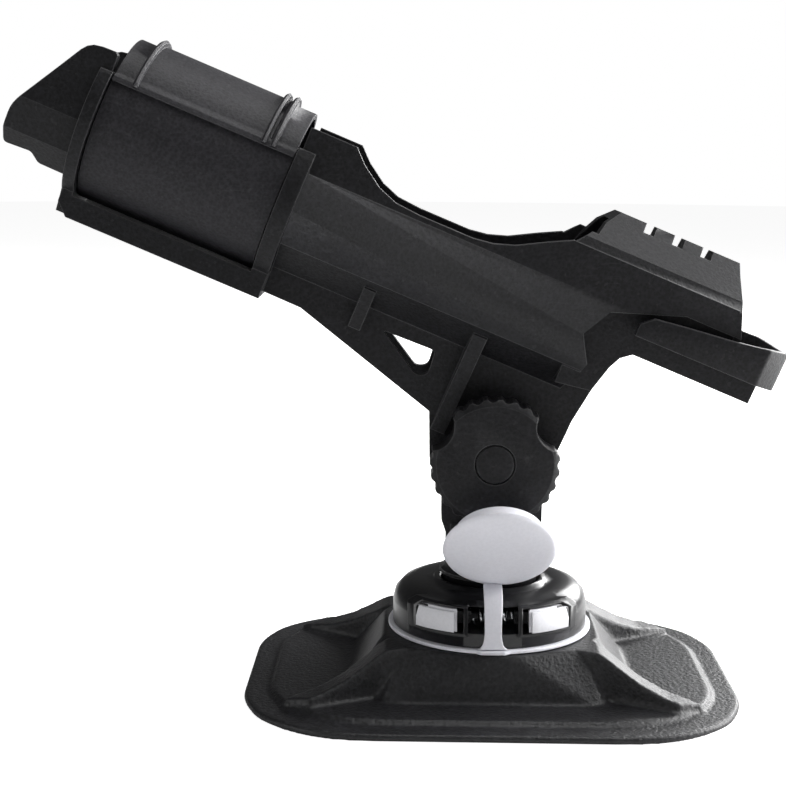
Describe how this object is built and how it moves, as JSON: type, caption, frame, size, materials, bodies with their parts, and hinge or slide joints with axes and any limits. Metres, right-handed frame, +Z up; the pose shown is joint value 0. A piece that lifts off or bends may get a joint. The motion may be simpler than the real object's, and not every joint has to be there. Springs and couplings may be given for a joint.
{
  "type": "rod holder",
  "caption": "Fishing rod holder with open trough, turning lock collar and rear hood, tilting on a knob clamp above a swivel post in a push-button quick-release hub on a flexible glue-on pad",
  "frame": {"origin": "centre of the flat underside of the pad", "axes": "+Z up and away from the surface the pad is glued to, +X along the long side of the pad towards the tail of the holder, +Y to the far side of the tube seen with the tail on the right"},
  "size_m": [0.2722, 0.134, 0.2318],
  "materials": {
    "pad": "fine grained flexible polymer",
    "moulding": "fine grained matt",
    "hub": "gloss",
    "elastomer": "satin light grey",
    "button": "satin light grey",
    "steel": "plain bright",
    "brass": "turned"
  },
  "bodies": {
    "base": {"base_pad": "pad", "pad_insert": "moulding", "hub_housing": "hub", "hub_screw_1": "steel", "hub_screw_2": "steel", "hub_screw_3": "steel", "hub_screw_4": "steel", "tether_ring": "elastomer", "lock_spring": "steel"},
    "left_button": {"button_left": "button"},
    "right_button": {"button_right": "button"},
    "cap": {"socket_cap": "elastomer", "tether_strap": "elastomer"},
    "post": {"swivel_post": "moulding", "index_disc_near": "moulding", "index_disc_far": "moulding"},
    "holder": {"holder_body": "moulding", "clamp_bolt": "steel", "washer_far": "steel", "bail_pin_near": "moulding", "bail_pin_far": "moulding"},
    "knob": {"clamp_knob": "moulding", "knob_cap": "moulding", "knob_nut": "brass"},
    "collar": {"lock_collar": "moulding"},
    "bail": {"rear_bail": "moulding"}
  },
  "joints": [
    {"name": "swivel", "type": "hinge", "parent": "base", "child": "post", "pos_m": [0, 0, 0.04], "axis": [0, 0, 1], "continuous": true},
    {"name": "tilt", "type": "hinge", "parent": "post", "child": "holder", "pos_m": [0, 0, 0.0867], "axis": [0, 1, 0], "range_deg": [-50, 35]},
    {"name": "knob_turn", "type": "hinge", "parent": "holder", "child": "knob", "pos_m": [0, -0.02, 0.0867], "axis": [0, -1, 0], "continuous": true},
    {"name": "collar_turn", "type": "hinge", "parent": "holder", "child": "collar", "pos_m": [-0.10577, 0, 0.19171], "axis": [0.9232, 0, -0.3843], "range_deg": [0, 128]},
    {"name": "bail_swing", "type": "hinge", "parent": "holder", "child": "bail", "pos_m": [0.05261, 0, 0.13347], "axis": [0, -1, 0], "range_deg": [0, 105]},
    {"name": "cap_flip", "type": "hinge", "parent": "base", "child": "cap", "pos_m": [0, -0.0382, 0.0227], "axis": [1, 0, 0], "range_deg": [0, 85]},
    {"name": "button_left_push", "type": "slide", "parent": "base", "child": "left_button", "axis": [1, 0, 0], "range_m": [0, 0.0018], "stiffness_N_per_m": 600, "springref_m": -0.001, "deforming": ["lock_spring"]},
    {"name": "button_right_push", "type": "slide", "parent": "base", "child": "right_button", "axis": [-1, 0, 0], "range_m": [0, 0.0018], "stiffness_N_per_m": 600, "springref_m": -0.001, "deforming": ["lock_spring"]}
  ]
}
